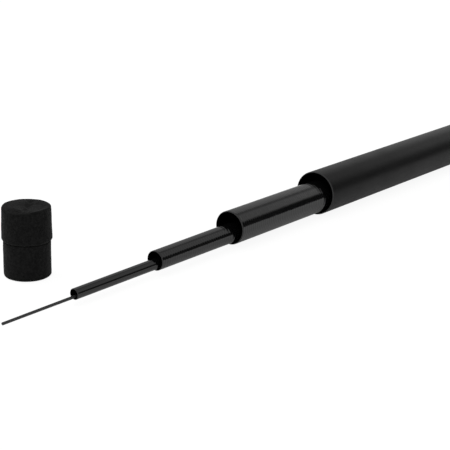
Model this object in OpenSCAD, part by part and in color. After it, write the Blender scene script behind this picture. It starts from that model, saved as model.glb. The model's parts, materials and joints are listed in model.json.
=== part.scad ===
// Five-section telescopic pole with its foam mouth stopper taken off.
// X runs along the pole, the tip towards -X and the screw cap towards +X. Z is up.
// The butt lies on the plane z = 0 along one line of its cone, and the stopper stands beside the tip.
// The origin is the middle of the bottom of the box that holds it all.

/* [Butt section] */
// Length of the butt blank, from mouth to rear end
butt_len = 1100; // [900:10:1300]
// Outside diameter at the mouth
butt_mouth_d = 30; // [28:0.1:33]
// Wall at the mouth
butt_mouth_wall = 1.3; // [0.9:0.1:1.8]
// Outside diameter of the parallel grip
grip_d = 35.6; // [34.8:0.1:38]
// Wall of the grip
grip_wall = 1; // [0.8:0.1:1.4]
// Length of the parallel grip
grip_len = 160; // [80:5:250]

/* [Second section] */
// Outside diameter at the mouth
s2_mouth_d = 21.4; // [18:0.1:23]
// Wall at the mouth
s2_mouth_wall = 0.9; // [0.7:0.1:1.4]
// Wall at the rear end
s2_rear_wall = 0.6; // [0.6:0.05:1.2]
// How far it stands out of the butt
s2_out = 96.7; // [20:0.1:300]

/* [Third section] */
// Outside diameter at the mouth
s3_mouth_d = 11.9; // [10:0.1:13.5]
// Wall at the mouth
s3_mouth_wall = 0.65; // [0.6:0.05:1]
// Wall at the rear end
s3_rear_wall = 0.9; // [0.6:0.05:1.2]
// How far it stands out of the second section
s3_out = 69.9; // [20:0.1:300]

/* [Fourth section] */
// Outside diameter at the mouth
s4_mouth_d = 6.3; // [5:0.1:7]
// Wall at the mouth
s4_mouth_wall = 0.65; // [0.5:0.05:0.9]
// Wall at the rear end
s4_rear_wall = 0.7; // [0.5:0.05:0.9]
// How far it stands out of the third section
s4_out = 64.7; // [20:0.1:300]

/* [Tip section] */
// Diameter of the bare end of the solid tip
tip_d = 1.6; // [1:0.05:2]
// Length of the parallel bare end, where a line connector is glued
tip_end_len = 8; // [4:1:12]
// How far it stands out of the fourth section
tip_out = 49.3; // [20:0.1:300]
// Length of the solid tip in front of the splice
solid_tip_len = 300; // [150:10:500]
// Length of the spigot of the solid tip, glued into the hollow blank
splice_len = 35; // [20:1:60]
// Diameter of that spigot
splice_d = 1.56; // [1.2:0.02:1.8]
// Wall of the hollow blank at its rear end
tip_rear_wall = 0.6; // [0.4:0.05:0.9]

/* [Telescope] */
// Length that stays inside when a section is drawn right out
overlap = 75; // [50:5:120]
// Gap between a blank and the lip it lies on
slip_gap = 0.15; // [0.05:0.05:0.25]
// How far each mouth sits behind the one around it when all is closed
mouth_step = 3; // [1:0.5:6]
// Chamfer round the outside of a mouth
mouth_chamfer = 0.6; // [0.2:0.1:0.8]
// Glue line between pieces that are glued together
glue_gap = 0.02; // [0.01:0.01:0.05]

/* [Screw cap] */
// Length of the threaded ring inside the butt
insert_len = 16; // [14:1:30]
// Thickness of its flange behind the butt
insert_flange = 2; // [1:0.5:4]
// Diameter of the hole through the ring, over the crests of its thread
thread_d = 29.2; // [28.4:0.1:30.5]
// Depth of the thread
thread_depth = 0.8; // [0.5:0.1:1]
// Pitch of the thread
thread_pitch = 2; // [1.5:0.5:3]
// Number of turns of thread on the cap
thread_turns = 4; // [2:1:5]
// Clearance between the cap's thread and the ring
thread_gap = 0.2; // [0.1:0.05:0.3]
// Thickness of the head of the cap
cap_head_t = 9; // [6:0.5:14]
// How much smaller the head and the ring's flange are than the grip, on the radius
cap_inset = 0.2; // [0.1:0.1:1]
// Length of the hollow spigot in front of the head
cap_spigot_len = 19.3; // [17:0.1:30]
// Wall of the spigot behind its thread
cap_wall = 1.4; // [1:0.1:2]
// Number of flutes round the head
flutes = 36; // [24:1:48]
// Diameter of the cutter that makes a flute
flute_d = 2.2; // [1.6:0.1:2.4]
// Width of the coin slot
slot_w = 2.4; // [1.6:0.2:4]
// Length of the coin slot
slot_len = 24; // [16:1:28]
// Depth of the coin slot
slot_depth = 3; // [2:0.5:4]
// Diameter of the drain hole
drain_d = 2.5; // [1.5:0.5:4]
// Thickness of the rubber ring
o_ring_t = 2; // [1.5:0.1:2.4]
// Thickness of the foam pad
pad_t = 10; // [7:0.5:14]
// How far the pad stands out of the spigot
pad_proud = 4; // [2:0.5:5]

/* [Foam stopper] */
// Diameter of the head
stopper_head_d = 28.2; // [27.6:0.1:32]
// Height of the head
stopper_head_h = 19.8; // [12:0.1:30]
// Length of the spigot that goes into the mouth of the butt
stopper_spigot_len = 21; // [12:0.5:30]
// Clearance of the spigot in the mouth, on the radius
stopper_gap = 0.35; // [0.05:0.05:0.4]
// How much the spigot narrows to its free end, on the radius
stopper_draft = 0.1; // [0:0.05:0.4]
// Depth of the dish in the top
stopper_dish = 0.7; // [0.3:0.1:1.5]
// Where the stopper stands: this far in front of the mouth of the butt
stopper_ahead = 214.7; // [150:0.1:260]
// Where the stopper stands: this far to the side of the pole
stopper_aside = 53.4; // [40:0.1:120]

/* [Hidden] */
$fn = 96;

// Air between the pad and the closed sections, and between the stopper and the second section's mouth
pad_air = 0.5;
nose_air = 1.5;
// Small bevels on edges that are broken by hand
rear_bevel = 0.3;
lip_bevel = 0.3;
// The most of a mouth's wall that its chamfer and the bevel inside it may take
chamfer_share = 0.6;
bevel_share = 0.2;

// Sections are numbered from the butt, 0, to the tip, 4
grip_r = grip_d / 2;
grip_bore_r = grip_r - grip_wall;
cone_len = butt_len - grip_len;
mouth_r = [butt_mouth_d / 2, s2_mouth_d / 2, s3_mouth_d / 2, s4_mouth_d / 2, tip_d / 2];
mouth_wall = [butt_mouth_wall, s2_mouth_wall, s3_mouth_wall, s4_mouth_wall];
rear_wall = [grip_wall, s2_rear_wall, s3_rear_wall, s4_rear_wall, tip_rear_wall];
out = [0, s2_out, s3_out, s4_out, tip_out];
butt_taper = (grip_r - mouth_r[0]) / cone_len;

// Stations along the butt's axis, from its mouth
cap_x = butt_len + insert_flange + 0.3;
spigot_x = cap_x - cap_spigot_len;
pad_x = spigot_x - pad_proud;
end_x = cap_x + cap_head_t;

function bore_r(i) = mouth_r[i] - mouth_wall[i];
function blank_len(i) = i == 0 ? butt_len
    : i == 1 ? pad_x - pad_air - stopper_spigot_len - nose_air
    : blank_len(i - 1) - mouth_step;
// Radius gained per millimetre outside: a section drawn right out fills the mouth it came through
function taper(i) = i == 0 ? butt_taper
    : (bore_r(i - 1) - slip_gap - mouth_r[i]) / (blank_len(i) - overlap);
function rear_r(i) = mouth_r[i] + taper(i) * blank_len(i);
// Radius gained per millimetre inside
function bore_taper(i) = i == 0 ? (grip_bore_r - bore_r(0)) / cone_len
    : (rear_r(i) - rear_wall[i] - bore_r(i)) / blank_len(i);
// A section lies along the bottom of the bore, or parallel to its axis where the bore opens faster
function lie(i) = min(taper(i), bore_taper(i - 1));
function mouth_drop(i) = bore_r(i - 1) - slip_gap - mouth_r[i] - lie(i) * out[i];

// Cap sizes that follow the ring and the grip
thread_crest_r = thread_d / 2 - thread_gap;
thread_root_r = thread_crest_r - thread_depth;
o_ring_mid_r = thread_crest_r;
o_ring_r = o_ring_t / 2;
groove_w = o_ring_t + 0.4;
seal_r = o_ring_mid_r + o_ring_r + 0.05;
cup_r = thread_root_r - cap_wall;
head_r = grip_r - cap_inset;

spigot_r = bore_r(0) - stopper_gap;

// The pole is tipped by the butt's own taper, which lays the cone on z = 0
lean = atan(butt_taper);
tip_reach = out[1] + out[2] + out[3] + out[4];
centre_x = (end_x * cos(lean) + head_r * sin(lean) - tip_reach * cos(lean)) / 2;
centre_y = (stopper_aside + stopper_head_d / 2 - grip_r) / 2;

// Moves a piece from the butt's axis, measured from the mouth, to where it lies
module on_butt() {
    translate([-centre_x, -centre_y, mouth_r[0] * cos(lean)]) rotate([0, -lean, 0]) children();
}

// Moves a piece from its own section's mouth and axis to where that section lies
module in_section(i) {
    if (i == 0) on_butt() children();
    else in_section(i - 1) translate([-out[i], 0, -mouth_drop(i)])
        rotate([0, -atan(taper(i) - lie(i)), 0]) children();
}

// Turns an outline of [radius, distance behind the mouth] points round the X axis
module turned(points) {
    rotate([0, 90, 0]) rotate_extrude() polygon(points);
}

// Points on an arc about [x, y]
function arc(x, y, r, from, to, steps = 6) =
    [for (k = [0 : steps]) let (a = from + (to - from) * k / steps) [x + r * cos(a), y + r * sin(a)]];

function chamfer(i) = min(mouth_chamfer, chamfer_share * mouth_wall[i]);
function bevel(i) = min(lip_bevel, bevel_share * mouth_wall[i]);

// The lip of a mouth, inside edge to outside edge
function lip(i) = [
    [bore_r(i) + bore_taper(i) * bevel(i), bevel(i)],
    [bore_r(i) + bevel(i), 0],
    [mouth_r[i] - chamfer(i), 0],
    [mouth_r[i] + taper(i) * chamfer(i), chamfer(i)]];

module butt_blank() {
    color("#1c1c1c") on_butt() turned(concat(lip(0), [
        [grip_r, cone_len],
        [grip_r, butt_len],
        [grip_bore_r, butt_len],
        [grip_bore_r, cone_len]]));
}

module section_blank(i) {
    len = blank_len(i);
    in_section(i) turned(concat(lip(i), [
        [rear_r(i) - taper(i) * rear_bevel, len - rear_bevel],
        [rear_r(i) - rear_bevel, len],
        [rear_r(i) - rear_wall[i], len]]));
}

module section_2_blank() { color("#101011") section_blank(1); }
module section_3_blank() { color("#101011") section_blank(2); }
module section_4_blank() { color("#101011") section_blank(3); }

// Hollow rear part of the tip section, with a parallel socket for the splice at its front
module tip_blank() {
    len = blank_len(4);
    front_r = mouth_r[4] + taper(4) * solid_tip_len;
    socket_r = splice_d / 2 + glue_gap;
    socket_end = solid_tip_len + splice_len;
    color("#161617") in_section(4) turned([
        [socket_r, solid_tip_len],
        [front_r, solid_tip_len],
        [rear_r(4) - taper(4) * rear_bevel, len - rear_bevel],
        [rear_r(4) - rear_bevel, len],
        [rear_r(4) - tip_rear_wall, len],
        [socket_r, socket_end]]);
}

// Solid tip: a parallel bare end, a long cone and a spigot
module solid_tip() {
    bevel = tip_d / 6;
    color("#1a1a1b") in_section(4) turned([
        [0, 0],
        [mouth_r[4] - bevel, 0],
        [mouth_r[4], bevel],
        [mouth_r[4], tip_end_len],
        [mouth_r[4] + taper(4) * solid_tip_len, solid_tip_len - glue_gap],
        [splice_d / 2, solid_tip_len - glue_gap],
        [splice_d / 2, solid_tip_len + splice_len - 1],
        [0, solid_tip_len + splice_len - 1]]);
}

// Ring glued into the rear of the butt, with a counterbore for the rubber ring
module thread_insert() {
    front_x = butt_len - insert_len;
    rear_x = butt_len + insert_flange;
    ring_r = grip_bore_r - glue_gap;
    seal_x = cap_x - groove_w - 0.8;
    color("#b9bbbd") on_butt() turned([
        [thread_d / 2 + 0.5, front_x],
        [ring_r - 0.5, front_x],
        [ring_r, front_x + 0.5],
        [ring_r, butt_len],
        [head_r, butt_len],
        [head_r, rear_x - 0.4],
        [head_r - 0.4, rear_x],
        [seal_r + 0.3, rear_x],
        [seal_r, rear_x - 0.3],
        [seal_r, seal_x],
        [thread_d / 2, seal_x],
        [thread_d / 2, front_x + 0.5]]);
}

// Crests of the cap's thread, from the front of the thread backwards
function crests(x0) = [for (k = [0 : thread_turns - 1], p = [
    [thread_root_r, 0.1], [thread_crest_r, 0.4], [thread_crest_r, 0.6], [thread_root_r, 0.9]])
    [p[0], x0 + (k + p[1]) * thread_pitch]];

module butt_cap() {
    rim = 1.2;
    hollow_r = cup_r - 1.5;
    hollow_end = cap_x - 1;
    land_x = cap_x - groove_w - 0.6;
    thread_x = land_x - thread_turns * thread_pitch;
    face_groove_r = slot_len / 2 + 1.2;
    color("#2b2c2e") on_butt() difference() {
        turned(concat([
            [0, hollow_end],
            [hollow_r, hollow_end],
            [hollow_r, pad_x + pad_t],
            [cup_r, pad_x + pad_t],
            [cup_r, spigot_x],
            [thread_root_r - 0.4, spigot_x],
            [thread_root_r, spigot_x + 0.4]],
            crests(thread_x), [
            [thread_crest_r, land_x],
            [thread_crest_r, cap_x - groove_w],
            [o_ring_mid_r - o_ring_r - 0.05, cap_x - groove_w],
            [o_ring_mid_r - o_ring_r - 0.05, cap_x],
            [head_r - 0.5, cap_x],
            [head_r, cap_x + 0.5],
            [head_r, end_x - rim]],
            arc(head_r - rim, end_x - rim, rim, 0, 90), [
            [face_groove_r + 0.5, end_x],
            [face_groove_r, end_x - 0.5],
            [face_groove_r - 0.5, end_x],
            [0, end_x]]));
        for (k = [0 : flutes - 1]) rotate([k * 360 / flutes, 0, 0])
            translate([cap_x + 1.5, 0, head_r + flute_d / 4]) rotate([0, 90, 0])
                cylinder(d = flute_d, h = cap_head_t - 1.5 - rim);
        translate([end_x - slot_depth, -slot_len / 2, -slot_w / 2])
            cube([slot_depth + 1, slot_len, slot_w]);
        translate([cap_x - 2, 0, 0]) rotate([0, 90, 0])
            cylinder(d = drain_d, h = cap_head_t + 2);
    }
}

module cap_o_ring() {
    color("#0c0c0c") on_butt() translate([cap_x - groove_w / 2, 0, 0]) rotate([0, 90, 0])
        rotate_extrude() translate([o_ring_mid_r, 0]) circle(r = o_ring_r);
}

module cap_pad() {
    pad_r = cup_r - 0.05;
    color("#2a2a2a") on_butt() turned([
        [2, pad_x],
        [pad_r - 0.6, pad_x],
        [pad_r, pad_x + 0.6],
        [pad_r, pad_x + pad_t],
        [2, pad_x + pad_t]]);
}

// Foam stopper, standing on the free end of its spigot
module foam_stopper() {
    top = stopper_spigot_len + stopper_head_h;
    r = stopper_head_d / 2;
    under = 1.5;
    edge = 1;
    foot = 0.8;
    dish_r = r - 2.2;
    color("#171717") translate([-centre_x - stopper_ahead, stopper_aside - centre_y, 0])
        rotate_extrude() polygon(concat([
            [0, 0],
            [spigot_r - stopper_draft - foot, 0]],
            arc(spigot_r - stopper_draft - foot, foot, foot, -90, 0, 4), [
            [spigot_r, stopper_spigot_len - 0.6],
            [spigot_r - 0.4, stopper_spigot_len]],
            arc(r - under, stopper_spigot_len + under, under, -90, 0, 5),
            arc(r - edge, top - edge, edge, 0, 90, 5), [
            [dish_r, top - 0.1],
            [dish_r * 0.6, top - stopper_dish * 0.8],
            [dish_r * 0.3, top - stopper_dish],
            [0, top - stopper_dish]]));
}

butt_blank();
thread_insert();
butt_cap();
cap_o_ring();
cap_pad();
section_2_blank();
section_3_blank();
section_4_blank();
tip_blank();
solid_tip();
foam_stopper();
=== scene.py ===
"""Looks of a five-section telescopic pole, with its foam mouth stopper standing beside the tip.

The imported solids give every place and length. The classes here rebuild the blanks, the stopper and
the fittings at the rear as finer meshes on the same axes, and dress them in node materials. Meshes
are worked out in millimetres about a local X axis and then put in place. Patterns are in metres.
"""

from __future__ import annotations

import json
import logging
import math
from dataclasses import dataclass, field
from enum import Enum
from functools import reduce
from typing import Any, Callable, Sequence

import bmesh
import bpy
from mathutils import Euler, Matrix, Vector, noise

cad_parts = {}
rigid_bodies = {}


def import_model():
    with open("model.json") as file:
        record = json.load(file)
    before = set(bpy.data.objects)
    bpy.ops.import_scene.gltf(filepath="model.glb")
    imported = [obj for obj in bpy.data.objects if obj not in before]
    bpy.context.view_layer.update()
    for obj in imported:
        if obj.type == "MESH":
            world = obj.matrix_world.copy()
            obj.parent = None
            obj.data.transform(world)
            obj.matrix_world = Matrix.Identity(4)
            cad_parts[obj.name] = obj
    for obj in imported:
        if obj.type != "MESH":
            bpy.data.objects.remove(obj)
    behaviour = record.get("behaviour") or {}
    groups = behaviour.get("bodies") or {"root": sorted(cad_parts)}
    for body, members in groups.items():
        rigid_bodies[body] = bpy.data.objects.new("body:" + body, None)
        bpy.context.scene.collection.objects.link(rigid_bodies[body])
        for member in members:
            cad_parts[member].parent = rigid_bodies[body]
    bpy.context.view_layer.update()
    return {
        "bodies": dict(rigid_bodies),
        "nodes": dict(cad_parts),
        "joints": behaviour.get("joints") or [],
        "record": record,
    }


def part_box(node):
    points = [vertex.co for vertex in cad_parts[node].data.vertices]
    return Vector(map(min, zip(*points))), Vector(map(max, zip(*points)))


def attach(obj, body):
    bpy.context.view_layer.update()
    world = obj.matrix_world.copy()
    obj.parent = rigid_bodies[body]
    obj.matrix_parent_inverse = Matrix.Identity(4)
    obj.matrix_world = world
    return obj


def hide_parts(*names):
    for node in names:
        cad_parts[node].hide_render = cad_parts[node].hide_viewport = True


log = logging.getLogger("pole")

MM = 0.001
# Angle in degrees past which an edge of a foam piece is shaded sharp.
SOFT_CREASE = 60.0

Point = tuple[float, float]
Point3 = tuple[float, float, float]
# Where a ramp starts and ends, and its levels there.
Ease = tuple[float, float, float, float]
Frame = dict[str, Any]


class Slot(Enum):
    """The record's material slots."""

    MATT_CARBON = "matt_carbon"
    GLOSS_CARBON = "gloss_carbon"
    SOLID_CARBON = "solid_carbon"
    BARE_ALUMINIUM = "bare_aluminium"
    BLACK_ANODISED = "black_anodised"
    RUBBER = "rubber"
    PAD_FOAM = "pad_foam"
    STOPPER_FOAM = "stopper_foam"


def fixed(x: float, y: float, z: float = 0.0) -> Any:
    """Returns a dataclass field that holds a vector."""
    return field(default_factory=lambda: Vector((x, y, z)))


def grey(level: float) -> tuple[float, float, float, float]:
    """Returns a grey of one level."""
    return (level, level, level, 1.0)


# Node graphs


class Bench:
    """Lays nodes in one tree and links them."""

    def __init__(self, tree: bpy.types.NodeTree) -> None:
        """Takes the tree to work in and clears it."""
        self.tree = tree
        tree.nodes.clear()

    def node(self, kind: str, inputs: dict[Any, Any] | None = None, **settings: Any) -> bpy.types.Node:
        """Adds a node.

        Args:
            kind: The node's type without its ShaderNode prefix, or a full type name.
            inputs: Values or sockets for its inputs, by name or number.
            **settings: The node's own properties.

        Returns:
            The new node.
        """
        full = kind if kind.startswith("Node") else "ShaderNode" + kind
        made = self.tree.nodes.new(full)
        for name, value in settings.items():
            setattr(made, name, value)
        for key, value in (inputs or {}).items():
            self.feed(made.inputs[key], value)
        return made

    def feed(self, socket: bpy.types.NodeSocket, value: Any) -> None:
        """Links a socket to another, or sets it to a plain value.

        Args:
            socket: The input to feed.
            value: An output socket, or a number, colour or vector.
        """
        if isinstance(value, bpy.types.NodeSocket):
            self.tree.links.new(value, socket)
        else:
            socket.default_value = value

    def math(self, operation: str, *values: Any) -> bpy.types.NodeSocket:
        """Works out one sum of up to three numbers."""
        return self.node("Math", dict(enumerate(values)), operation=operation).outputs[0]

    def total(self, *values: Any) -> Any:
        """Adds numbers up, from the first to the last."""
        return reduce(lambda one, other: self.math("ADD", one, other), values)

    def product(self, *values: Any) -> Any:
        """Multiplies numbers, from the first to the last."""
        return reduce(lambda one, other: self.math("MULTIPLY", one, other), values)

    def less(self, one: Any, other: Any) -> Any:
        """Takes the second number from the first."""
        return self.math("SUBTRACT", one, other)

    def over(self, one: Any, other: Any) -> Any:
        """Divides the first number by the second."""
        return self.math("DIVIDE", one, other)

    def parts(self, vector: Any) -> Any:
        """Splits a vector into X, Y and Z."""
        return self.node("SeparateXYZ", {0: vector}).outputs

    def ramp(
            self, value: Any, low: float, high: float, to_low: float = 0.0, to_high: float = 1.0) -> Any:
        """Eases from one level to another as a value goes from low to high."""
        ends = {"Value": value, "From Min": low, "From Max": high, "To Min": to_low, "To Max": to_high}
        return self.node("MapRange", ends, interpolation_type="SMOOTHSTEP").outputs["Result"]

    def grain(self, vector: Any, scale: Any, detail: float = 2.0, rough: float = 0.5) -> Any:
        """Gives even noise from 0 to 1, at a scale per metre."""
        inputs = {"Vector": vector, "Scale": scale, "Detail": detail, "Roughness": rough}
        return self.node("TexNoise", inputs, noise_dimensions="3D").outputs["Fac"]

    def cells(self, vector: Any, scale: Any) -> Any:
        """Gives the distance to the middle of the nearest cell, at a scale per metre."""
        inputs = {"Vector": vector, "Scale": scale, "Randomness": 1.0}
        return self.node("TexVoronoi", inputs, feature="F1").outputs["Distance"]

    def blend(self, factor: Any, one: Any, other: Any) -> Any:
        """Mixes two colours."""
        return self.node("Mix", {0: factor, 6: one, 7: other}, data_type="RGBA").outputs[2]


@dataclass(frozen=True)
class Effect:
    """A shader node group that several finishes share. It takes a vector and some numbers."""

    name: str
    numbers: tuple[str, ...]
    gives: tuple[str, ...]
    build: Callable[[Bench, bpy.types.Node], dict[str, Any]]

    def tree(self) -> bpy.types.NodeTree:
        """Builds the group's tree the first time that it is asked for.

        Returns:
            The tree.
        """
        if self.name in bpy.data.node_groups:
            return bpy.data.node_groups[self.name]
        tree = bpy.data.node_groups.new(self.name, "ShaderNodeTree")
        tree.interface.new_socket("Vector", in_out="INPUT", socket_type="NodeSocketVector")
        for name in self.numbers:
            tree.interface.new_socket(name, in_out="INPUT", socket_type="NodeSocketFloat")
        for name in self.gives:
            tree.interface.new_socket(name, in_out="OUTPUT", socket_type="NodeSocketFloat")
        bench = Bench(tree)
        made = self.build(bench, bench.node("NodeGroupInput"))
        bench.node("NodeGroupOutput", made)
        return tree

    def place(self, bench: Bench, **inputs: Any) -> bpy.types.Node:
        """Places the group in a material, with that material's own values.

        Args:
            bench: The material's bench.
            **inputs: What it takes, by name in lower case.

        Returns:
            The group's node.
        """
        named = {key.capitalize(): value for key, value in inputs.items()}
        return bench.node("Group", named, node_tree=self.tree())


def lay_tape_ridges(bench: Bench, given: bpy.types.Node) -> dict[str, Any]:
    """Builds the helical ridges that shrink tape leaves on a blank that isn't sanded.

    Args:
        bench: The group's bench.
        given: The group's input node.

    Returns:
        What the group gives, by name.
    """
    vector = given.outputs["Vector"]
    drift_scale, patch_scale = 55.0, 420.0
    x, y, z = bench.parts(vector)
    turn = bench.over(bench.math("ARCTAN2", z, y), math.tau)
    lead = bench.over(x, given.outputs["Pitch"])
    drift = bench.less(bench.grain(vector, drift_scale, 1.0), 0.5)
    wander = bench.product(drift, given.outputs["Wander"])
    along = bench.math("FRACT", bench.total(lead, turn, wander))
    off = bench.math("ABSOLUTE", bench.less(along, 0.5))
    patchy = bench.ramp(bench.grain(vector, patch_scale), 0.3, 0.7, 0.45, 1.0)
    return {"Height": bench.product(bench.ramp(off, 0.0, 0.5), patchy)}


def lay_foam_cells(bench: Bench, given: bpy.types.Node) -> dict[str, Any]:
    """Builds the mottled open skin of cut closed-cell foam.

    Args:
        bench: The group's bench.
        given: The group's input node.

    Returns:
        What the group gives, by name.
    """
    vector = given.outputs["Vector"]
    fine_scale, cloud_scale = 2.7, 0.8
    scale = bench.over(1.0, given.outputs["Cell"])
    coarse = bench.cells(vector, scale)
    fine = bench.cells(vector, bench.product(scale, fine_scale))
    pits = bench.total(bench.product(coarse, 0.6), bench.product(fine, 0.4))
    cloud = bench.grain(vector, bench.product(scale, cloud_scale), 3.0)
    mottle = bench.total(bench.product(cloud, 0.75), bench.product(pits, 0.35))
    return {"Height": bench.less(1.0, pits), "Mask": bench.ramp(mottle, 0.38, 0.78)}


def lay_turned_lines(bench: Bench, given: bpy.types.Node) -> dict[str, Any]:
    """Builds the fine rings that a lathe or a grinding wheel leaves round an axis.

    Args:
        bench: The group's bench.
        given: The group's input node.

    Returns:
        What the group gives, by name.
    """
    x, y, z = bench.parts(given.outputs["Vector"])
    out = bench.math("SQRT", bench.total(bench.product(y, y), bench.product(z, z)))
    rings = bench.node("CombineXYZ", {0: x, 1: out, 2: 0.0}).outputs[0]
    lines = bench.grain(rings, bench.over(1.0, given.outputs["Pitch"]), 4.0, 0.65)
    return {"Height": lines, "Mask": bench.ramp(lines, 0.35, 0.65)}


def lay_handling(bench: Bench, given: bpy.types.Node) -> dict[str, Any]:
    """Builds the faint smears and specks that handling leaves.

    Args:
        bench: The group's bench.
        given: The group's input node.

    Returns:
        What the group gives, by name.
    """
    vector, amount = given.outputs["Vector"], given.outputs["Amount"]
    smear_scale, speck_scale = 38.0, 1900.0
    smear = bench.ramp(bench.grain(vector, smear_scale, 3.0, 0.6), 0.42, 0.72)
    specks = bench.ramp(bench.grain(vector, speck_scale, 1.0), 0.66, 0.74)
    return {"Smear": bench.product(smear, amount), "Specks": bench.product(specks, amount)}


TAPE_RIDGES = Effect("tape_ridges", ("Pitch", "Wander"), ("Height",), lay_tape_ridges)
FOAM_CELLS = Effect("foam_cells", ("Cell",), ("Height", "Mask"), lay_foam_cells)
TURNED_LINES = Effect("turned_lines", ("Pitch",), ("Height", "Mask"), lay_turned_lines)
HANDLING = Effect("handling", ("Amount",), ("Smear", "Specks"), lay_handling)


# Axes and finishes


@dataclass(frozen=True)
class Axis:
    """The axis of a turned piece: where its front end is, and which way it runs."""

    start: Vector
    along: Vector
    length: float

    @staticmethod
    def of(node: bpy.types.Object) -> "Axis":
        """Measures the axis of a solid that is turned about a nearly level line.

        Args:
            node: The solid's object.

        Returns:
            The axis from the middle of the -X end to the middle of the +X end.
        """
        grid, band = 1e-6, 0.12 * MM
        keys = sorted({tuple(round(c / grid) for c in v.co) for v in node.data.vertices})
        points = [Vector(k) * grid for k in keys]
        ends = []
        for x in (points[0].x, points[-1].x):
            ring = [p for p in points if abs(p.x - x) < band]
            ends.append(sum(ring, Vector()) / len(ring))
        run = ends[1] - ends[0]
        return Axis(ends[0], run.normalized(), run.length)

    def shifted(self, distance: float) -> "Axis":
        """Returns the same line, started further along it."""
        return Axis(self.start + distance * self.along, self.along, self.length)

    def lean(self) -> float:
        """Returns how far the line climbs, in radians."""
        return math.asin(self.along.z)

    def place(self) -> Matrix:
        """Returns the matrix that takes local millimetres along +X onto the line."""
        turn = Euler((0, -self.lean(), 0)).to_matrix().to_4x4()
        return Matrix.Translation(self.start) @ turn @ Matrix.Scale(MM, 4)

    def vector(self, bench: Bench) -> Any:
        """Gives Object coordinates centred on the line, with X along it.

        Args:
            bench: The material's bench.

        Returns:
            The socket with the coordinates.
        """
        coords = bench.node("TexCoord").outputs["Object"]
        turn = (0.0, -self.lean(), 0.0)
        inputs = {"Vector": coords, "Location": tuple(self.start), "Rotation": turn}
        return bench.node("Mapping", inputs, vector_type="TEXTURE").outputs["Vector"]


@dataclass(frozen=True)
class Coat:
    """A material that is being made: its bench, its shader and the coordinates of its patterns."""

    bench: Bench
    shader: bpy.types.Node
    vector: Any

    def give(self, socket: str, value: Any) -> None:
        """Feeds one of the shader's sockets."""
        self.bench.feed(self.shader.inputs[socket], value)

    def rise(self, height: Any, distance: float, strength: float = 1.0) -> None:
        """Feeds a height to the shader's normal."""
        bump = self.bench.node("Bump", {"Height": height, "Distance": distance, "Strength": strength})
        self.give("Normal", bump.outputs[0])


@dataclass(frozen=True)
class Look:
    """What every finish has: a name, a colour and the shader's plain values."""

    name: str
    colour: Point3
    roughness: float
    specular: float = 0.5
    metallic: float = 0.0

    def dress(self, coat: Coat) -> None:
        """Feeds the shader the patterns of the finish. Each kind of finish has its own.

        Args:
            coat: The material that is being made.
        """

    def material(self, axis: Axis) -> bpy.types.Material:
        """Makes the material for a piece on an axis.

        Args:
            axis: The line that the patterns wind round.

        Returns:
            The new material.
        """
        made = bpy.data.materials.new(self.name)
        made.use_nodes = True
        made.diffuse_color = (*self.colour, 1.0)
        bench = Bench(made.node_tree)
        shader = bench.node("BsdfPrincipled", {
            "Base Color": (*self.colour, 1.0), "Roughness": self.roughness,
            "Specular IOR Level": self.specular, "Metallic": self.metallic, "IOR": 1.5})
        self.dress(Coat(bench, shader, axis.vector(bench)))
        bench.node("OutputMaterial", {"Surface": shader.outputs[0]})
        return made

    def shade(self, factor: float) -> tuple[float, float, float, float]:
        """Returns the colour times a factor."""
        return (*(c * factor for c in self.colour), 1.0)


@dataclass(frozen=True)
class UnsandedGloss(Look):
    """Gloss resin over carbon, with the ridges of its shrink tape left on."""

    pitch: float = 2.1 * MM
    ridge: float = 0.058 * MM
    wander: float = 0.5
    smear_rough: float = 0.03
    smear_light: float = 1.35

    def dress(self, coat: Coat) -> None:
        """Winds the ridges, and dulls the gloss where it has been handled.

        Args:
            coat: The material that is being made.
        """
        bench = coat.bench
        tape = TAPE_RIDGES.place(bench, vector=coat.vector, pitch=self.pitch, wander=self.wander)
        smear = HANDLING.place(bench, vector=coat.vector, amount=1.0).outputs["Smear"]
        coat.give("Roughness", bench.total(bench.product(smear, self.smear_rough), self.roughness))
        coat.give("Base Color", bench.blend(smear, self.shade(1.0), self.shade(self.smear_light)))
        coat.rise(tape.outputs["Height"], self.ridge)


@dataclass(frozen=True)
class MattLacquer(Look):
    """Matt lacquer with a fine tooth, duller and coarser on the hold at the rear."""

    tooth: float = 0.004 * MM
    tooth_scale: float = 2600.0
    sheen: float = 0.08
    sheen_rough: float = 0.4
    smear_rough: float = 0.05
    speck_light: float = 1.6
    hold_from: float = 0.942
    hold_fade: float = 2 * MM
    hold_rough: float = 0.18
    hold_scale: float = 1500.0
    hold_share: float = 3.0

    def dress(self, coat: Coat) -> None:
        """Lays the tooth of the lacquer and of the hold.

        Args:
            coat: The material that is being made.
        """
        bench = coat.bench
        marks = HANDLING.place(bench, vector=coat.vector, amount=1.0)
        hold = bench.ramp(bench.parts(coat.vector)[0], self.hold_from, self.hold_from + self.hold_fade)
        smears = bench.product(marks.outputs["Smear"], self.smear_rough)
        coat.give("Roughness", bench.total(self.roughness, smears, bench.product(hold, self.hold_rough)))
        coat.give("Base Color", bench.blend(
            marks.outputs["Specks"], self.shade(1.0), self.shade(self.speck_light)))
        coat.give("Sheen Weight", self.sheen)
        coat.give("Sheen Roughness", self.sheen_rough)
        coarse = bench.product(bench.grain(coat.vector, self.hold_scale), hold, self.hold_share)
        coat.rise(bench.total(bench.grain(coat.vector, self.tooth_scale), coarse), self.tooth)


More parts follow.
